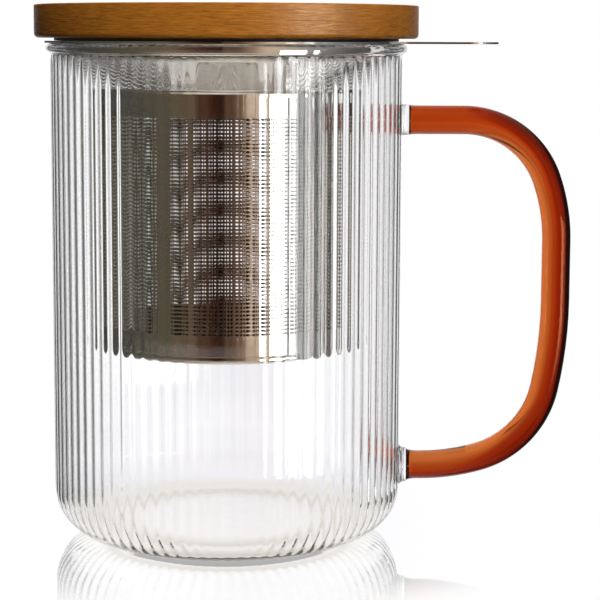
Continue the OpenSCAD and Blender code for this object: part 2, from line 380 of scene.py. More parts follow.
# A white card beside the handle: it shows only through glass, and clears the inner side of the rod
cardLook = {
    "stands": 0.0897,  # metres throughout, x of its upright part
    "foot": 0.065,  # x where the part that lies on the table ends
    "top": 0.2,
    "bottom": 0.0005,
    "near": 0.003,  # y of its two sides
    "far": 0.035,
    "glow": 1.1,
}


def addCard():
    material, tree = emptyMaterial("white_card")[:2]
    glow = addNode(tree, "ShaderNodeEmission", {"Color": (1, 1, 1, 1), "Strength": cardLook["glow"]})
    addNode(tree, "ShaderNodeOutputMaterial", {"Surface": glow})
    stands, low = cardLook["stands"], cardLook["bottom"]
    profile = ((stands, cardLook["top"]), (stands, low), (cardLook["foot"], low))
    corners = [(x, y, z) for x, z in profile for y in (cardLook["near"], cardLook["far"])]
    card = newPiece("side_card", corners, [(0, 2, 3, 1), (2, 4, 5, 3)], material)
    card.visible_camera = card.visible_diffuse = card.visible_glossy = card.visible_shadow = False


addSheet()
addDisc()
addCard()
print("camera, studio and floor are set")


# Finishes
def glassMaterial(name, ripple, **sockets):
    # Borosilicate glass, blown or drawn: clear and sharp, with a faint ripple left by the mould
    material, tree, shader, place = startMaterial(
        name, Transmission_Weight=1.0, Roughness=0.0, IOR=1.473, **sockets)
    stretch = addNode(tree, "ShaderNodeMapping", {"Vector": place, "Scale": (60, 60, 14)})
    waves = addNode(tree, "ShaderNodeTexNoise", {"Vector": stretch, "Scale": 1.0, "Detail": 1.0})
    bump = addNode(tree, "ShaderNodeBump", {"Height": waves, "Strength": 1.0, "Distance": ripple})
    feed(tree, shader, {"Normal": bump})
    return material, tree, shader


amberLook = {
    "gloss": "#ffb070",
    "depth": "#fabf37",  # what is left of white light in the thick of the glass
    "density": 350.0,
    # painted light and shade across the rod: white on the inner side of the loop, near black on the outer
    # side
    "sides": [(0.05, "#ffffff"), (0.16, "#e8e8dc"), (0.24, "#bcaaaa"), (0.35, "#aa7658"), (0.5, "#b86838"),
              (0.56, "#953424"), (0.72, "#681808"), (0.88, "#400800"), (1.0, "#1c0200")],
}


def makeAmber():
    # Amber glass with painted light and shade across the rod: dark on the outer side of the bends, pale
    # inside the loop
    material, tree, shader = glassMaterial(
        "amber_borosilicate_glass", 0.00002, Specular_Tint=hexColour(amberLook["gloss"]))
    side = addNode(tree, "ShaderNodeAttribute", attribute_name="rodLightAndShade").outputs["Fac"]
    paintedLightAndShade = fillRamp(addNode(tree, "ShaderNodeValToRGB", {"Fac": side}), amberLook["sides"])
    feed(tree, shader, {"Base Color": paintedLightAndShade})
    depth = addNode(tree, "ShaderNodeVolumeAbsorption", {
        "Color": hexColour(amberLook["depth"]), "Density": amberLook["density"]})
    feed(tree, tree.nodes["Material Output"], {"Volume": depth})
    return material


# innerSide is a painted shade for the inside of the pierced basket; innerRoughness is its real duller finish
steelLook = {"colour": "#d8d6d2", "innerSide": "#55524e", "innerRoughness": 0.4}


def makeSteel(name, roughness, grain, dent, innerRadius=0.0):
    # Stainless sheet, pressed or rolled and then polished: bright, with faint drawing lines and soft waves
    bright = hexColour(steelLook["colour"])
    material, tree, shader, place = startMaterial(name, Base_Color=bright, Metallic=1.0, Roughness=roughness)
    lines = addNode(tree, "ShaderNodeMapping", {"Vector": place, "Scale": grain})
    scratch = addNode(tree, "ShaderNodeTexNoise", {"Vector": lines, "Scale": 1.0, "Detail": 4.0})
    wave = addNode(tree, "ShaderNodeTexNoise", {"Vector": place, "Scale": 90.0, "Detail": 0.0})
    gloss = addNode(tree, "ShaderNodeMapRange", {
        "Value": scratch, "From Min": 0.3, "From Max": 0.7,
        "To Min": roughness * 0.7, "To Max": roughness * 1.5})
    dents = addNode(tree, "ShaderNodeBump", {"Height": wave, "Strength": 0.3, "Distance": dent})
    bump = addNode(tree, "ShaderNodeBump", {
        "Height": scratch, "Strength": 0.15, "Distance": 0.00002, "Normal": dents})
    feed(tree, shader, {"Roughness": gloss, "Normal": bump})
    if innerRadius:  # the inner side of the rolled sheet is left dull, and its colour is darkened as painted shade inside the basket
        flat = addNode(tree, "ShaderNodeVectorMath", [place, (1, 1, 0)], operation="MULTIPLY")
        out = addNode(tree, "ShaderNodeVectorMath", [flat], operation="LENGTH").outputs["Value"]
        inside = addNode(tree, "ShaderNodeMath", [out, innerRadius], operation="LESS_THAN")
        paintedLightAndShade = addNode(tree, "ShaderNodeMix", {
            0: inside, 6: bright, 7: hexColour(steelLook["innerSide"])}, data_type="RGBA")
        dull = addNode(tree, "ShaderNodeMix", {
            0: inside, 2: gloss, 3: steelLook["innerRoughness"]}, data_type="FLOAT")
        feed(tree, shader, {"Base Color": paintedLightAndShade.outputs[2], "Roughness": dull})
    return material


bambooLook = {
    "stripWidth": 5.5,  # mm, across the grain
    "fibreWidth": 0.45,
    "fibreLength": 14.0,
    "edgeFibreLength": 3.5,  # on the turned edge, where the fibres run round
    "edgeFibreWidth": 0.3,
    "glueWidth": 0.32,
    "pale": "#bd7a2c",
    "mid": "#a4641f",
    "dark": "#83501c",
}


def makeBamboo():
    # Carbonised bamboo strip, edge-glued, sanded and oiled: caramel, with dark fibre ends and a soft sheen
    material, tree, shader, place = startMaterial(
        "carbonised_bamboo", Roughness=0.45, Specular_IOR_Level=0.07)
    part = addNode(tree, "ShaderNodeSeparateXYZ", [place]).outputs
    normal = addNode(tree, "ShaderNodeNewGeometry").outputs["Normal"]
    up = addNode(tree, "ShaderNodeSeparateXYZ", [normal]).outputs["Z"]
    level = addNode(tree, "ShaderNodeMath", [up], operation="ABSOLUTE")
    onTop = addNode(tree, "ShaderNodeMath", [level, 0.8], operation="GREATER_THAN")
    # Each strip has its own stretch of the grain and its own tone
    wide = bambooLook["stripWidth"] * mm
    across = addNode(tree, "ShaderNodeMath", [part["Y"], wide], operation="DIVIDE")
    strip = addNode(tree, "ShaderNodeMath", [across], operation="FLOOR")
    own = addNode(tree, "ShaderNodeTexWhiteNoise", {"W": strip}, noise_dimensions="1D").outputs["Value"]
    along = addNode(tree, "ShaderNodeMath", [own, 0.3, part["X"]], operation="MULTIPLY_ADD")
    moved = addNode(tree, "ShaderNodeCombineXYZ", [along, part["Y"], part["Z"]])
    fibres = []
    for where, sizes in ((place, ("edgeFibreLength", "edgeFibreLength", "edgeFibreWidth")),
                         (moved, ("fibreLength", "fibreWidth", "fibreWidth"))):
        scale = [1 / (bambooLook[size] * mm) for size in sizes]
        stretched = addNode(tree, "ShaderNodeMapping", {"Vector": where, "Scale": scale})
        fibres.append(addNode(tree, "ShaderNodeTexNoise", {
            "Vector": stretched, "Scale": 1.0, "Detail": 3.0, "Roughness": 0.6}))
    fibre = addNode(tree, "ShaderNodeMix", {0: onTop, 2: fibres[0], 3: fibres[1]}, data_type="FLOAT")
    cloud = addNode(tree, "ShaderNodeTexNoise", {"Vector": moved, "Scale": 22.0, "Detail": 2.0})
    tone = addNode(tree, "ShaderNodeMath", [cloud, 0.2], operation="MULTIPLY")
    streak = addNode(tree, "ShaderNodeMath", [fibre, 0.75, tone], operation="MULTIPLY_ADD")
    ownTone = addNode(tree, "ShaderNodeMath", [own, 0.16, -0.03], operation="MULTIPLY_ADD")
    ownOnTop = addNode(tree, "ShaderNodeMath", [ownTone, onTop], operation="MULTIPLY")
    share = addNode(tree, "ShaderNodeMath", [streak, ownOnTop], operation="ADD")
    ramp = fillRamp(addNode(tree, "ShaderNodeValToRGB", {"Fac": share}), [
        (0.30, bambooLook["dark"]), (0.45, bambooLook["mid"]), (0.68, bambooLook["pale"])])
    # Glue lines between the strips
    edge = addNode(tree, "ShaderNodeMath", [part["Y"], wide / 2], operation="PINGPONG")
    half = bambooLook["glueWidth"] / 2 * mm
    line = addNode(tree, "ShaderNodeMapRange", {
        "Value": edge, "From Min": half / 4, "From Max": half, "To Min": 0.55, "To Max": 0.0})
    glue = addNode(tree, "ShaderNodeMath", [line, onTop], operation="MULTIPLY")
    glued = addNode(tree, "ShaderNodeMix", {
        0: glue, 6: ramp, 7: hexColour(bambooLook["dark"])}, data_type="RGBA")
    pores = addNode(tree, "ShaderNodeTexNoise", {"Vector": place, "Scale": 1400.0, "Detail": 1.0})
    rough = addNode(tree, "ShaderNodeMath", [pores, 0.6, fibre], operation="MULTIPLY_ADD")
    bump = addNode(tree, "ShaderNodeBump", {"Height": rough, "Strength": 0.6, "Distance": 0.00015})
    gloss = addNode(tree, "ShaderNodeMapRange", {"Value": fibre, "To Min": 0.5, "To Max": 0.32})
    feed(tree, shader, {"Base Color": glued.outputs[2], "Roughness": gloss, "Normal": bump})
    return material


def makeSilicone():
    # Moulded silicone rubber: milky, matt and slightly waxy
    material, tree, shader, place = startMaterial(
        "white_silicone_rubber", Base_Color=hexColour("#e9e7e0"), Roughness=0.5, Subsurface_Weight=0.3,
        Subsurface_Radius=(0.002, 0.002, 0.0018), Subsurface_Scale=1.0)
    grain = addNode(tree, "ShaderNodeTexNoise", {"Vector": place, "Scale": 2500.0})
    feed(tree, shader, {"Normal": addNode(tree, "ShaderNodeBump", {
        "Height": grain, "Strength": 0.2, "Distance": 0.00002})})
    return material


clearGlass = glassMaterial("clear_borosilicate_glass", 0.00006, Base_Color=(1, 1, 1, 1))[0]
amberGlass = makeAmber()
pressedSteel = makeSteel("pressed_stainless_steel", 0.035, (300, 300, 300), 0.0002)
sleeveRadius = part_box("infuser_sleeve")[1].y
rolledSteel = makeSteel("rolled_stainless_steel", 0.025, (400, 400, 6000), 0.00005, sleeveRadius - 0.00015)
bamboo = makeBamboo()
silicone = makeSilicone()
print("finishes are made")


# Glass cup
cup = {
    "wall": 2.6,  # mm throughout
    "floor": 3.0,
    "corner": 12.0,
    "beadHeight": 2.4,
    "beadOut": 1.1,
    "beadIn": 0.3,
    "reeds": 85,
    "reedDepth": 0.12,
    "stepsPerReed": 10,
    "outerShare": 1.0,  # of the reeds' depth, outside
    "innerShare": -0.8,  # and inside, where the wall follows them
    "reedFadeTop": (117.0, 118.8),  # heights between which the reeds die out under the bead
    "reedFadeLow": (0.5, 2.4),  # and on the rounded corner
    "innerFadeLow": (0.6, 3.0),  # and above the floor, inside
    "outerRings": (16, 24, 40, 60, 80, 100, 110, 114, 115.6, 116.4, 117.2, 117.9, 118.4),  # heights
    "innerRings": (118.4, 117.9, 117.2, 116.4, 115.6, 114, 110, 90, 60, 30),
}


def cupOutline():
    beadRadius, low, high = roundBox("cup_body")
    r = beadRadius - cup["beadOut"]
    inner = r - cup["wall"]
    bend = cup["beadHeight"] / 2
    beadZ = high - bend
    corner, innerCorner = cup["corner"], cup["corner"] - cup["wall"]
    floor = cup["floor"]
    outer = [(0, low), (r - corner - 8, low), (r - corner - 2, low)]
    outer += arc((r - corner, low + corner), corner, -90, 0, 26)
    outer += [(r, z) for z in cup["outerRings"]]
    rest = arc((beadRadius - bend, beadZ), bend, -74, 90, 14)
    rest += arc((inner - cup["beadIn"] + bend, beadZ), bend, 90, 256, 14)
    rest += [(inner, z) for z in (*cup["innerRings"], floor + innerCorner + 2)]
    rest += arc((inner - innerCorner, floor + innerCorner), innerCorner, 0, -90, 20)
    rest += [(inner - innerCorner - 6, floor), (0, floor)]
    return outer, rest, inner


def reedTree():
    tree, source = newTree("pressed reeds", {
        "Reeds": "NodeSocketInt", "Depth": "NodeSocketFloat", "Material": "NodeSocketMaterial"})
    position = addNode(tree, "GeometryNodeInputPosition")
    part = addNode(tree, "ShaderNodeSeparateXYZ", [position]).outputs
    turn = addNode(tree, "ShaderNodeMath", [part["Y"], part["X"]], operation="ARCTAN2")
    phase = addNode(tree, "ShaderNodeMath", [turn, source["Reeds"]], operation="MULTIPLY")
    crest = addNode(tree, "ShaderNodeMath", [phase], operation="COSINE")
    # 0 on a crest, -1 in a valley
    wave = addNode(tree, "ShaderNodeMath", [crest, 0.5, -0.5], operation="MULTIPLY_ADD")
    drop = addNode(tree, "ShaderNodeMath", [wave, source["Depth"]], operation="MULTIPLY")
    weight = addNode(tree, "GeometryNodeInputNamedAttribute", {"Name": "reedWeight"}, data_type="FLOAT")
    amount = addNode(tree, "ShaderNodeMath", [drop, weight], operation="MULTIPLY")
    normal = addNode(tree, "GeometryNodeInputNormal")
    push = addNode(tree, "ShaderNodeVectorMath", {0: normal, "Scale": amount}, operation="SCALE")
    moved = addNode(tree, "GeometryNodeSetPosition", {"Geometry": source["Geometry"], "Offset": push})
    closeTree(tree, moved, source["Material"])
    return tree


def fade(value, limits):  # 0 at the first limit, 1 at the second, smooth between them
    t = min(max((value - limits[0]) / (limits[1] - limits[0]), 0), 1)
    return t * t * (3 - 2 * t)


def makeCup():
    outer, rest, inner = cupOutline()
    steps = cup["reeds"] * cup["stepsPerReed"]
    piece = lathe("reeded_glass_cup", outer + rest, steps, clearGlass)
    top = cup["reedFadeTop"][::-1]
    floorFade = [cup["floor"] + z for z in cup["innerFadeLow"]]
    firstInner = 1 + (len(outer) - 1) * steps
    weights = []
    for i, vertex in enumerate(piece.data.vertices):
        z = vertex.co.z / mm
        r = math.hypot(vertex.co.x, vertex.co.y) / mm
        weight = 0.0
        if 0 < i < firstInner:
            weight = cup["outerShare"] * fade(z, cup["reedFadeLow"]) * fade(z, top)
        elif i >= firstInner and r < inner + 0.01:
            weight = cup["innerShare"] * fade(z, floorFade) * fade(z, top)
        weights.append(weight)
    piece.data.attributes.new("reedWeight", "FLOAT", "POINT").data.foreach_set("value", weights)
    piece.data.shade_smooth()
    grow(piece, reedTree(), {"Reeds": cup["reeds"], "Depth": cup["reedDepth"] * mm, "Material": clearGlass})
    smooth(piece, 24)
    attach(piece, "cup")
    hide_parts("cup_body")


makeCup()
print("glass cup is made")


# Handle
handle = {
    "topBend": 21.7,  # radii of the bends in mm, from the upper foot down
    "ease": 45.0,
    "sweep": 106.0,
    "lowBend": 23.5,
    "easeAngle": 20.0,  # degrees from level where one bend gives way to the next
    "sweepAngle": 12.0,
    "toeAngle": 74.0,
    "toeRun": 0.9,
    "flare": 2.6,  # mm over which the rod widens into its feet
    "ringStep": 2.0,  # degrees between rings
    "sides": 48,
    "shadeFrom": (55.0, 74.0),  # reach in mm over which the painted shade of the outer side sets in along the upper run
    "shadeRun": 0.49,  # painted shade of the rod's middle in the upper run, and in the bends
    "shadeBend": 0.5,
    "shadeLow": 0.14,  # how much paler the painted shade makes the lower run
}


def footFacts(node):  # radius and height of a clear foot, and where it ends
    low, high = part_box(node)
    return (high.y - low.y) / 2 / mm, (high.z + low.z) / 2 / mm, high.x / mm


def rodRadius():
    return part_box("handle_rod")[1].z / mm - footFacts("handle_upper_foot")[1]


def handlePath():  # (x, z, radius) along the middle of the rod, from the upper foot to the lower one
    upperR, top, footX = footFacts("handle_upper_foot")
    lowerR, lowZ, footX = footFacts("handle_lower_foot")
    rodR = rodRadius()
    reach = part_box("handle_rod")[1].x / mm - rodR
    topR, easeR, sweepR, lowR = (handle[k] for k in ("topBend", "ease", "sweep", "lowBend"))
    easeA, sweepA, toeA = (math.radians(handle[k]) for k in ("easeAngle", "sweepAngle", "toeAngle"))
    toeX = footX + handle["flare"] + handle["toeRun"]
    span = reach - toeX - sweepR * (1 - math.cos(sweepA)) - lowR * (math.cos(sweepA) - math.cos(toeA))
    toeR = span / math.cos(toeA)
    # Centres of the bends: each touches the next one
    gap = easeR - topR
    topC = (reach - easeR + gap * math.cos(easeA), top - topR)
    easeC = (reach - easeR, topC[1] - gap * math.sin(easeA))
    toeC = (toeX, lowZ + toeR)
    gap = toeR - lowR
    lowC = (toeC[0] + gap * math.cos(toeA), toeC[1] - gap * math.sin(toeA))
    gap = lowR - sweepR
    sweepC = (lowC[0] + gap * math.cos(sweepA), lowC[1] - gap * math.sin(sweepA))

    def flare(z, endR):
        joint = (rodR + endR) / 2
        turns = [math.radians(90 * i / 8) for i in range(9)]
        return [(footX + handle["flare"] * (1 - math.cos(t)), z, joint - (joint - rodR) * math.sin(t))
                for t in turns]

    easeEnd, sweepEnd, toeStart = handle["easeAngle"], -handle["sweepAngle"], -handle["toeAngle"]
    bends = ((topC, topR, 90, easeEnd), (easeC, easeR, easeEnd, 0), (sweepC, sweepR, 0, sweepEnd),
             (lowC, lowR, sweepEnd, toeStart), (toeC, toeR, toeStart, -90))
    path = flare(top, upperR)
    for centre, radius, start, end in bends:
        steps = max(2, round(abs(end - start) / handle["ringStep"]))
        path += [(x, z, rodR) for x, z in arc(centre, radius, start, end, steps)]
    path += reversed(flare(lowZ, lowerR))
    kept = [path[0]]
    for point in path[1:]:
        if math.dist(point[:2], kept[-1][:2]) > 0.02:
            kept.append(point)
    return kept


def rodTree():
    tree, source = newTree("drawn rod", {"Sides": "NodeSocketInt", "Material": "NodeSocketMaterial"})
    curve = addNode(tree, "GeometryNodeMeshToCurve", {"Mesh": source["Geometry"]})
    thickness = addNode(tree, "GeometryNodeInputNamedAttribute", {"Name": "rodRadius"}, data_type="FLOAT")
    sized = addNode(tree, "GeometryNodeSetCurveRadius", {"Curve": curve, "Radius": thickness})
    ring = addNode(tree, "GeometryNodeCurvePrimitiveCircle", {"Resolution": source["Sides"], "Radius": 1.0})
    tube = addNode(tree, "GeometryNodeCurveToMesh", {
        "Curve": sized, "Profile Curve": ring, "Scale": thickness, "Fill Caps": True})
    rounded = addNode(tree, "GeometryNodeSetShadeSmooth", {"Geometry": tube})
    closeTree(tree, rounded, source["Material"])
    return tree


def paintRodLightAndShade(piece, path):  # the attribute of painted light and shade runs from 0 inside the loop (painted light) to 1 outside it (painted shade)
    middle = path[len(path) // 2][1]
    values = []
    for vertex in piece.data.vertices:
        x, z = vertex.co.x / mm, vertex.co.z / mm
        i = min(range(1, len(path) - 1), key=lambda k: (path[k][0] - x) ** 2 + (path[k][1] - z) ** 2)
        along = Vector((path[i + 1][0] - path[i - 1][0], path[i + 1][1] - path[i - 1][1])).normalized()
        out = (z - path[i][1]) * along.x - (x - path[i][0]) * along.y
        weight = fade(x, handle["shadeFrom"])
        tone = handle["shadeRun"] + (handle["shadeBend"] - handle["shadeRun"]) * weight
        if z < middle:
            tone = handle["shadeBend"] - handle["shadeLow"] * (1 - weight)
            weight = 1
        values.append(tone + 0.5 * weight * max(-1, min(1, out / path[i][2])))
    piece.data.attributes.new("rodLightAndShade", "FLOAT", "POINT").data.foreach_set("value", values)


def makeHandle():
    path = handlePath()
    piece = newPiece("amber_glass_rod", [(x * mm, 0, z * mm) for x, z, r in path], [])
    piece.data.edges.add(len(path) - 1)
    for i, edge in enumerate(piece.data.edges):
        edge.vertices = (i, i + 1)
    radii = [r * mm for x, z, r in path]
    piece.data.attributes.new("rodRadius", "FLOAT", "POINT").data.foreach_set("value", radii)
    grow(piece, rodTree(), {"Sides": handle["sides"], "Material": amberGlass})
    smooth(piece, 50)
    paintRodLightAndShade(piece, path)
    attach(piece, "cup")
    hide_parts("handle_rod")


foot = {
    "heel": [(-0.6, -1.0), (-0.1, -0.6), (0, -0.25), (-0.08, 0.1)],  # mm, from the pad's radius and the wall
    "neckFrom": 0.2,
    "neckSteps": 8,
    "sides": 64,
}


def makeFoot(name, node):  # a clear pad melted onto the reeds, necked in towards the rod
    footR, z, footX = footFacts(node)
    wallX = roundBox("cup_body")[0] - cup["beadOut"]
    joint = (rodRadius() + footR) / 2
    start = wallX + foot["neckFrom"]
    outline = [(0, wallX + foot["heel"][0][1])]
    outline += [(footR + out, wallX + along) for out, along in foot["heel"]]
    for i in range(foot["neckSteps"]):
        t = math.radians(90 * (i + 1) / foot["neckSteps"])
        r = joint + (footR - joint) * (1 - math.sin(t))
        outline.append((r, start + (footX - start) * (1 - math.cos(t))))
    outline.append((0, footX))
    piece = lathe(name, outline, foot["sides"], clearGlass)
    piece.data.transform(Matrix.Translation((0, 0, z * mm)) @ Matrix.Rotation(math.pi / 2, 4, "Y"))
    smooth(piece, 40)
    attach(piece, "cup")
    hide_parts(node)


makeHandle()
makeFoot("upper_clear_foot", "handle_upper_foot")
makeFoot("lower_clear_foot", "handle_lower_foot")
print("handle is made")


# Infuser
rim = {
    "sheet": 0.5,  # mm throughout
    "collarGap": 0.5,
    "mouthBend": 0.8,
    "lip": 0.3,
    "shoulder": 4.0,
    "funnelSlope": 50.0,  # degrees from upright
    "neckBend": 1.5,
    "tabWidth": 16.0,
    "tabOverlap": 2.0,
    "sides": 240,
}


def rimOutline():
    low, high = roundBox("infuser_rim")[1:]
    collarR = roundBox("cup_body")[0] - cup["beadOut"] - cup["wall"] - cup["beadIn"] - rim["collarGap"]
    neckR = roundBox("infuser_sleeve")[0] + rim["sheet"]
    neckZ = roundBox("infuser_sleeve")[2]
    flangeR = -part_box("infuser_rim")[0].x / mm
    flangeZ = high - rim["sheet"]
    mouth, shoulder, neck, slope = (rim[k] for k in ("mouthBend", "shoulder", "neckBend", "funnelSlope"))
    shoulderZ = flangeZ - mouth - rim["lip"]

    def face(t):
        points = [(flangeR, flangeZ + t)]
        points += arc((collarR + mouth, flangeZ - mouth), mouth + t, 90, 180, 8)
        points += arc((collarR - shoulder, shoulderZ), shoulder - t, 0, -slope, 14)
        points += arc((neckR + neck, neckZ), neck + t, 180 - slope, 180, 10)
        return points + [(neckR - t, low)]

    return face(rim["sheet"]) + face(0)[::-1], flangeR, flangeZ


def makeRim():
    outline, flangeR, flangeZ = rimOutline()
    piece = lathe("pressed_rim", outline, rim["sides"], pressedSteel)
    # The tab is one sheet with the flange: it starts inside the flange's edge and ends in a half round
    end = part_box("infuser_rim")[1].x / mm
    half = rim["tabWidth"] / 2
    start = flangeR - rim["tabOverlap"]
    edge = [(start, -half)] + arc((end - half, 0), half, -90, 90, 32) + [(start, half)]
    count = len(edge)
    vertices = [(x * mm, y * mm, (flangeZ + t) * mm) for t in (0, rim["sheet"]) for x, y in edge]
    faces = [list(range(count))[::-1], list(range(count, 2 * count))]
    faces += [(i, (i + 1) % count, count + (i + 1) % count, count + i) for i in range(count)]
    tab = newPiece("tab", vertices, faces, pressedSteel)
    union = piece.modifiers.new("tab", "BOOLEAN")
    union.object = tab
    union.operation = "UNION"
    union.solver = "EXACT"
    joined = bpy.data.meshes.new_from_object(piece.evaluated_get(bpy.context.evaluated_depsgraph_get()))
    piece.modifiers.clear()
    piece.data = joined
    bpy.data.objects.remove(tab)
    smooth(piece, 35)
    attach(piece, "infuser")
    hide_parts("infuser_rim")


sleeve = {
    "wall": 0.3,  # mm throughout
    "columns": 199,
    "rows": 55,
    "rowPitch": 0.93,
    "firstRow": 53.6,  # height of the lowest row of holes
    "holeWide": 0.66,
    "holeHigh": 0.6,
    "holeEdge": 0.08,  # how far the etched edge of a hole is rounded back
    "edgeDepth": 0.4,  # and how deep, as a share of the wall
    "seamAngle": -27.9,  # degrees from the front, towards the handle
    "seamWidth": 3.5,
    "weld": 0.002,
    "rings": 3,  # the pierced field is made as this many rings, so that each stays light
}


def sleeveTiles():
    # Flat tiles one unit wide and high, front at z 0 and back at z -1. The attribute kind says what each
    # is for: 0 a pierced cell, 1 a plain cell, 2 the strip that closes an edge at the top
    vertices, faces, kinds = [], [], []

    def add(points, polygons, kind):
        base = len(vertices)
        vertices.extend(points)
        faces.extend([tuple(base + i for i in polygon) for polygon in polygons])
        kinds.extend([kind] * len(polygons))

    corner = [(-0.5, -0.5), (0.5, -0.5), (0.5, 0.5), (-0.5, 0.5)]
    sides = 6  # the faces below are laid out for six
    cellWide = 2 * math.pi * roundBox("infuser_sleeve")[0] / sleeve["columns"]

    def ring(grown, z):
        across, up = sleeve["holeWide"] / 2 + grown, sleeve["holeHigh"] / 2 + grown
        turns = [math.radians(-90 - 180 / sides + 360 * i / sides) for i in range(sides)]
        return [(across / cellWide * math.cos(a), up / sleeve["rowPitch"] * math.sin(a), z) for a in turns]

    points = [(x, y, 0) for x, y in corner] + ring(sleeve["holeEdge"], 0) + ring(0, -sleeve["edgeDepth"])
    points += [(x, y, -1) for x, y in corner] + ring(0, -1)
    # Each cell edge meets the hole corner that it faces
    front = [(0, 1, 5, 4), (1, 6, 5), (1, 2, 6), (2, 7, 6), (2, 3, 8, 7), (3, 9, 8), (3, 0, 9), (0, 4, 9)]
    back = [tuple(i + 16 for i in reversed(f)) for f in front]
    walls = [(k + i, k + (i + 1) % sides, k + step + (i + 1) % sides, k + step + i)
             for k, step in ((4, 6), (10, 10)) for i in range(sides)]
    add(points, front + back + walls, 0)
    add([(x, y, z) for z in (0, -1) for x, y in corner], [(0, 1, 2, 3), (7, 6, 5, 4)], 1)
    add([(-0.5, 0.5, 0), (0.5, 0.5, 0), (0.5, 0.5, -1), (-0.5, 0.5, -1)], [(0, 1, 2, 3)], 2)
    piece = newPiece("tiles", vertices, faces)
    piece.data.attributes.new("kind", "INT", "FACE").data.foreach_set("value", kinds)
    return piece


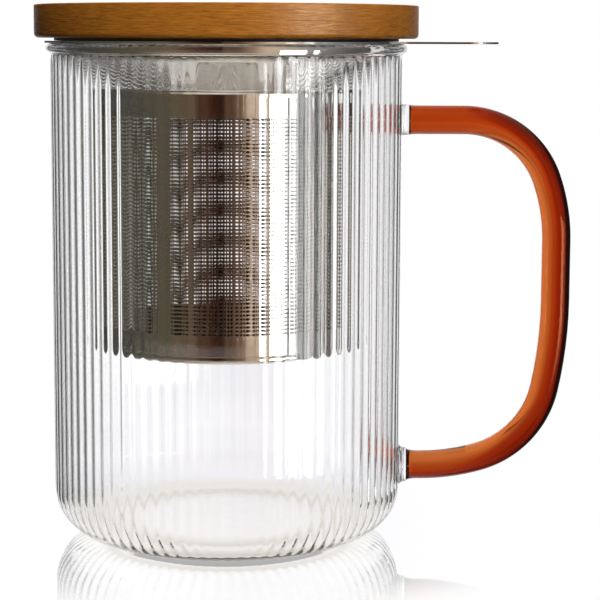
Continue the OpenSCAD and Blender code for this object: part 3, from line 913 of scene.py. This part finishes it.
def sleeveTree():
    tree, source = newTree("pierced sleeve", {
        "Columns": "NodeSocketInt", "Rows": "NodeSocketInt", "Radius": "NodeSocketFloat",
        "Row pitch": "NodeSocketFloat", "Lowest row": "NodeSocketFloat", "Sheet": "NodeSocketFloat",
        "Band below": "NodeSocketFloat", "Band above": "NodeSocketFloat", "Seam angle": "NodeSocketFloat",
        "Seam width": "NodeSocketFloat", "Weld": "NodeSocketFloat", "Material": "NodeSocketMaterial"})
    kind = addNode(tree, "GeometryNodeInputNamedAttribute", {"Name": "kind"}, data_type="INT")
    tiles = []
    for k in range(3):
        wanted = addNode(tree, "FunctionNodeCompare", {2: kind, 3: k}, data_type="INT", operation="EQUAL")
        sorting = [source["Geometry"], wanted]
        tiles.append(addNode(tree, "GeometryNodeSeparateGeometry", sorting, domain="FACE"))
    pierced, plain, closing = tiles
    # The field of cells, laid out flat: x runs round the sleeve and y up it
    girth = addNode(tree, "ShaderNodeMath", [source["Radius"], 2 * math.pi], operation="MULTIPLY")
    pitch = addNode(tree, "ShaderNodeMath", [girth, source["Columns"]], operation="DIVIDE")
    wide = addNode(tree, "ShaderNodeMath", [girth, pitch], operation="SUBTRACT")
    steps = addNode(tree, "ShaderNodeMath", [source["Rows"], 1.0], operation="SUBTRACT")
    tall = addNode(tree, "ShaderNodeMath", [source["Row pitch"], steps], operation="MULTIPLY")
    middle = addNode(tree, "ShaderNodeMath", [
        tall, 0.5, source["Lowest row"]], operation="MULTIPLY_ADD")
    grid = addNode(tree, "GeometryNodeMeshGrid", {
        "Size X": wide, "Size Y": tall, "Vertices X": source["Columns"], "Vertices Y": source["Rows"]})
    position = addNode(tree, "GeometryNodeInputPosition")
    place = addNode(tree, "ShaderNodeSeparateXYZ", [position]).outputs
    # The seam stays plain
    angle, radius = source["Seam angle"], source["Radius"]
    seamX = addNode(tree, "ShaderNodeMath", [angle, radius], operation="MULTIPLY")
    beside = addNode(tree, "ShaderNodeMath", [place["X"], seamX], operation="SUBTRACT")
    away = addNode(tree, "ShaderNodeMath", [beside], operation="ABSOLUTE")
    halfSeam = addNode(tree, "ShaderNodeMath", [source["Seam width"], 0.5], operation="MULTIPLY")
    inSeam = addNode(tree, "ShaderNodeMath", [away, halfSeam], operation="LESS_THAN")
    offSeam = addNode(tree, "ShaderNodeMath", [1.0, inSeam], operation="SUBTRACT")
    lift = addNode(tree, "ShaderNodeCombineXYZ", {1: middle})
    cellSize = addNode(tree, "ShaderNodeCombineXYZ", [pitch, source["Row pitch"], source["Sheet"]])
    parts = []
    for tile, chosen in ((pierced, offSeam), (plain, inSeam)):
        cells = addNode(tree, "GeometryNodeInstanceOnPoints", {
            "Points": grid, "Selection": chosen, "Instance": tile, "Scale": cellSize})
        parts.append(addNode(tree, "GeometryNodeTransform", {"Geometry": cells, "Translation": lift}))
    # The plain bands at both ends
    first = addNode(tree, "ShaderNodeMath", [wide, -0.5], operation="MULTIPLY")
    column = addNode(tree, "GeometryNodeMeshLine", {
        "Count": source["Columns"], "Offset": addNode(tree, "ShaderNodeCombineXYZ", [pitch]),
        "Start Location": addNode(tree, "ShaderNodeCombineXYZ", [first])})
    halfRow = addNode(tree, "ShaderNodeMath", [source["Row pitch"], 0.5], operation="MULTIPLY")
    highRow = addNode(tree, "ShaderNodeMath", [source["Lowest row"], tall], operation="ADD")
    lowEdge = addNode(tree, "ShaderNodeMath", [source["Lowest row"], halfRow], operation="SUBTRACT")
    highEdge = addNode(tree, "ShaderNodeMath", [highRow, halfRow], operation="ADD")
    for band, edge, sign in ((source["Band below"], lowEdge, -1.0), (source["Band above"], highEdge, 1.0)):
        centre = addNode(tree, "ShaderNodeMath", [band, 0.5 * sign, edge], operation="MULTIPLY_ADD")
        at = addNode(tree, "ShaderNodeCombineXYZ", {1: centre})
        size = addNode(tree, "ShaderNodeCombineXYZ", [pitch, band, source["Sheet"]])
        turned = addNode(tree, "GeometryNodeTransform", {"Geometry": closing, "Scale": (sign, sign, 1.0)})
        strip = addNode(tree, "GeometryNodeJoinGeometry")
        for tile in (plain, turned):
            feed(tree, strip, [tile])
        cells = addNode(tree, "GeometryNodeInstanceOnPoints", {
            "Points": column, "Instance": strip, "Scale": size})
        parts.append(addNode(tree, "GeometryNodeTransform", {"Geometry": cells, "Translation": at}))
    join = addNode(tree, "GeometryNodeJoinGeometry")
    for part in parts:
        feed(tree, join, [part])
    # Rolled up: z, the depth in the sheet, becomes a distance from the axis
    real = addNode(tree, "GeometryNodeRealizeInstances", {"Geometry": join})
    turn = addNode(tree, "ShaderNodeMath", [place["X"], source["Radius"]], operation="DIVIDE")
    reach = addNode(tree, "ShaderNodeMath", [source["Radius"], place["Z"]], operation="ADD")
    sine = addNode(tree, "ShaderNodeMath", [turn], operation="SINE")
    cosine = addNode(tree, "ShaderNodeMath", [turn], operation="COSINE")
    right = addNode(tree, "ShaderNodeMath", [reach, sine], operation="MULTIPLY")
    forward = addNode(tree, "ShaderNodeMath", [reach, cosine], operation="MULTIPLY")
    back = addNode(tree, "ShaderNodeMath", [forward, -1.0], operation="MULTIPLY")
    bent = addNode(tree, "ShaderNodeCombineXYZ", [right, back, place["Y"]])
    rolled = addNode(tree, "GeometryNodeSetPosition", {"Geometry": real, "Position": bent})
    welded = addNode(tree, "GeometryNodeMergeByDistance", {"Geometry": rolled, "Distance": source["Weld"]})
    closeTree(tree, welded, source["Material"])
    return tree


def makeSleeve():
    radius, low, high = roundBox("infuser_sleeve")
    tree = sleeveTree()
    pitch, rows, rings = sleeve["rowPitch"], sleeve["rows"], sleeve["rings"]
    fieldLow = sleeve["firstRow"] - pitch / 2
    fieldHigh = fieldLow + rows * pitch
    done = 0
    for ring in range(rings):
        count = (rows - done) // (rings - ring)
        piece = sleeveTiles()
        piece.name = f"pierced_sleeve_{ring + 1}"
        below = fieldLow - low if ring == 0 else 0.0
        above = high - fieldHigh if ring == rings - 1 else 0.0
        grow(piece, tree, {
            "Columns": sleeve["columns"], "Rows": count, "Radius": radius * mm, "Row pitch": pitch * mm,
            "Lowest row": (sleeve["firstRow"] + done * pitch) * mm, "Sheet": sleeve["wall"] * mm,
            "Band below": below * mm, "Band above": above * mm, "Weld": sleeve["weld"] * mm,
            "Seam angle": math.radians(sleeve["seamAngle"]), "Seam width": sleeve["seamWidth"] * mm,
            "Material": rolledSteel})
        smooth(piece, 40)
        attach(piece, "infuser")
        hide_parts("infuser_sleeve")
        done += count
        print(piece.name, len(piece.data.polygons), "faces")


dish = {
    "corner": 0.8,  # mm throughout
    "outerLip": [(0, -0.15), (-0.06, -0.04), (-0.17, 0)],  # from the skirt's outer side and its top
    "innerLip": [(0.05, -0.1), (0, -0.3)],  # and from its inner side
    "innerCorner": 0.3,
}


def makeDish():
    radius, low, high = roundBox("infuser_base")
    inner = roundBox("infuser_sleeve")[0]
    corner, bend, floor = dish["corner"], dish["innerCorner"], low + rim["sheet"]
    outline = [(0, low), (radius - corner - 2, low)]
    outline += arc((radius - corner, low + corner), corner, -90, 0, 10)
    outline += [(radius + out, high + up) for out, up in dish["outerLip"]]
    outline += [(inner + out, high + up) for out, up in dish["innerLip"]]
    outline += arc((inner - bend, floor + bend), bend, 0, -90, 4)
    outline += [(inner - 3, floor), (0, floor)]
    piece = lathe("pressed_dish", outline, rim["sides"], pressedSteel)
    smooth(piece, 35)
    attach(piece, "infuser")
    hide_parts("infuser_base")


makeRim()
makeSleeve()
makeDish()
print("infuser is made")


# Lid
lid = {
    "upperEdge": 0.35,  # mm throughout
    "lowerEdge": 1.1,
    "jointEdge": 0.05,  # where the plies meet
    "plug": 33.8,
    "plugFoot": 1.15,
    "plugFootOut": 1.2,
    "plugFootEdge": 0.3,
    "flatRing": 1.0,  # how far inside a rounded edge the flat face beside it has its last ring
    "sides": 256,
}


def makeLid():
    joint = lid["jointEdge"]
    radius, low, high = roundBox("lid_upper_ply")
    edge = lid["upperEdge"]
    outline = [(0, low), (radius - joint, low), (radius, low + joint)]
    outline += arc((radius - edge, high - edge), edge, 0, 90, 6) + [(0, high)]
    upper = lathe("bamboo_upper_ply", outline, lid["sides"], bamboo)
    radius, foot, high = roundBox("lid_lower_ply")
    under = roundBox("lid_seal")[2]
    footTop = foot + lid["plugFoot"]
    footR = lid["plug"] + lid["plugFootOut"]
    edge = lid["plugFootEdge"]
    outline = [(0, foot), (footR - edge - lid["flatRing"], foot)]
    outline += arc((footR - edge, foot + edge), edge, -90, 0, 4)
    edge = lid["lowerEdge"]
    outline += [(footR, footTop), (lid["plug"], footTop), (lid["plug"], under)]
    outline += [(radius - edge - lid["flatRing"], under)]
    outline += arc((radius - edge, under + edge), edge, -90, 0, 10)
    outline += [(radius, high - joint), (radius - joint, high), (0, high)]
    lower = lathe("bamboo_lower_ply", outline, lid["sides"], bamboo)
    for piece, node in ((upper, "lid_upper_ply"), (lower, "lid_lower_ply")):
        smooth(piece, 35)
        lidGloss.objects.link(piece)
        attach(piece, "lid")
        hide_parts(node)


def finishSeal():  # the seal's own CAD shape is right and only gets its material
    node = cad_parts["lid_seal"]
    node.data.materials.clear()
    node.data.materials.append(silicone)


makeLid()
finishSeal()
print("lid is made")

# Light paths that thick glass in front of glass needs
scene.view_settings.view_transform = "Standard"
scene.cycles.max_bounces = 40
scene.cycles.transmission_bounces = 32
scene.cycles.glossy_bounces = 16
scene.cycles.diffuse_bounces = 4
scene.cycles.transparent_max_bounces = 32
scene.cycles.caustics_reflective = False
scene.cycles.caustics_refractive = False
scene.cycles.use_denoising = True
scene.cycles.denoising_input_passes = "RGB_ALBEDO_NORMAL"
